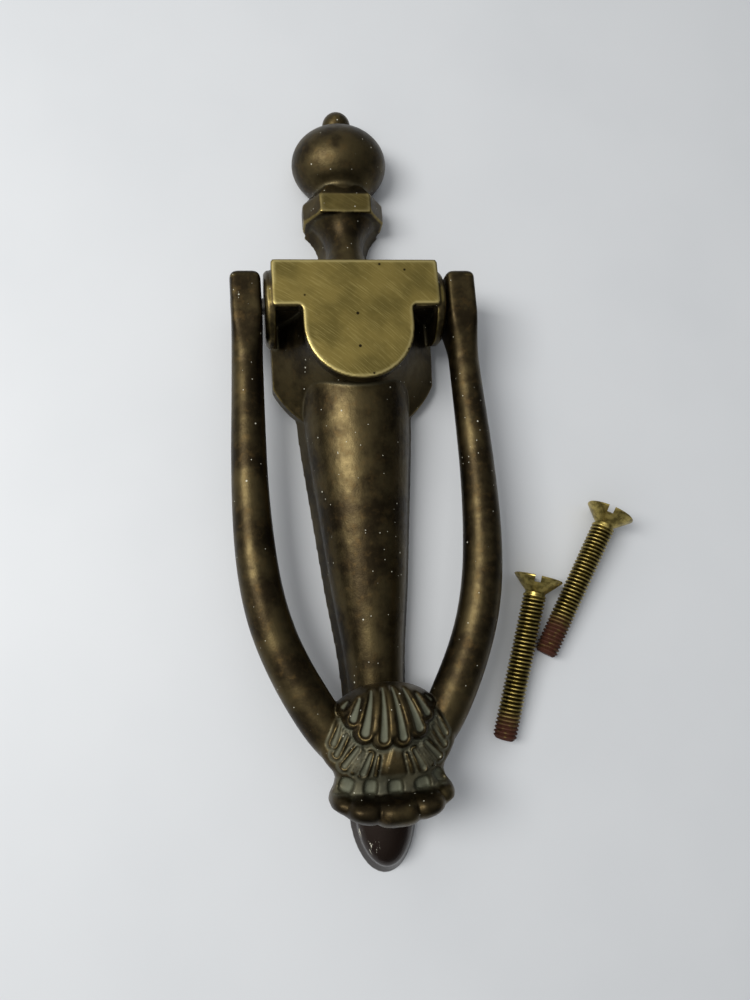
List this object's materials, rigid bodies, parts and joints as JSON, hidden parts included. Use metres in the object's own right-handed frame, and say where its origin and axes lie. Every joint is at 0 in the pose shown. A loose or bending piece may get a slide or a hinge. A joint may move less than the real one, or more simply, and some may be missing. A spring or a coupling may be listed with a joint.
{
  "type": "door knocker",
  "caption": "Cast brass door knocker with an urn finial, tapered half-round column and a hinged stirrup striker ending in a scallop shell, with its two fixing screws.",
  "frame": {"origin": "on the door face (the flat back), midway between the two tapped fixing holes", "axes": "+Z away from the door, +Y up the door from the foot to the finial, +X across"},
  "size_m": [0.1045, 0.1992, 0.027],
  "materials": {
    "cast_brass": "sand-cast brass, dark olive-brown patina, semi-gloss",
    "pin_steel": "drawn steel pin, filed flush",
    "screw_brass": "turned brass, aged, threads darkened and rust-stained at the tip"
  },
  "bodies": {
    "base": {"base": "cast_brass"},
    "striker": {"striker": "cast_brass", "hinge_pin_left": "pin_steel", "hinge_pin_right": "pin_steel"},
    "screw_1": {"screw_1": "screw_brass"},
    "screw_2": {"screw_2": "screw_brass"}
  },
  "joints": [
    {"name": "striker_swing", "type": "hinge", "parent": "base", "child": "striker", "pos_m": [0, 0.059, 0.0145], "axis": [-1, 0, 0], "range_deg": [0, 160]},
    {"name": "screw_1_lift", "type": "slide", "parent": "base", "child": "screw_1", "axis": [0, 0, 1], "range_m": [0, 0.06]},
    {"name": "screw_2_lift", "type": "slide", "parent": "base", "child": "screw_2", "axis": [0, 0, 1], "range_m": [0, 0.06]}
  ]
}
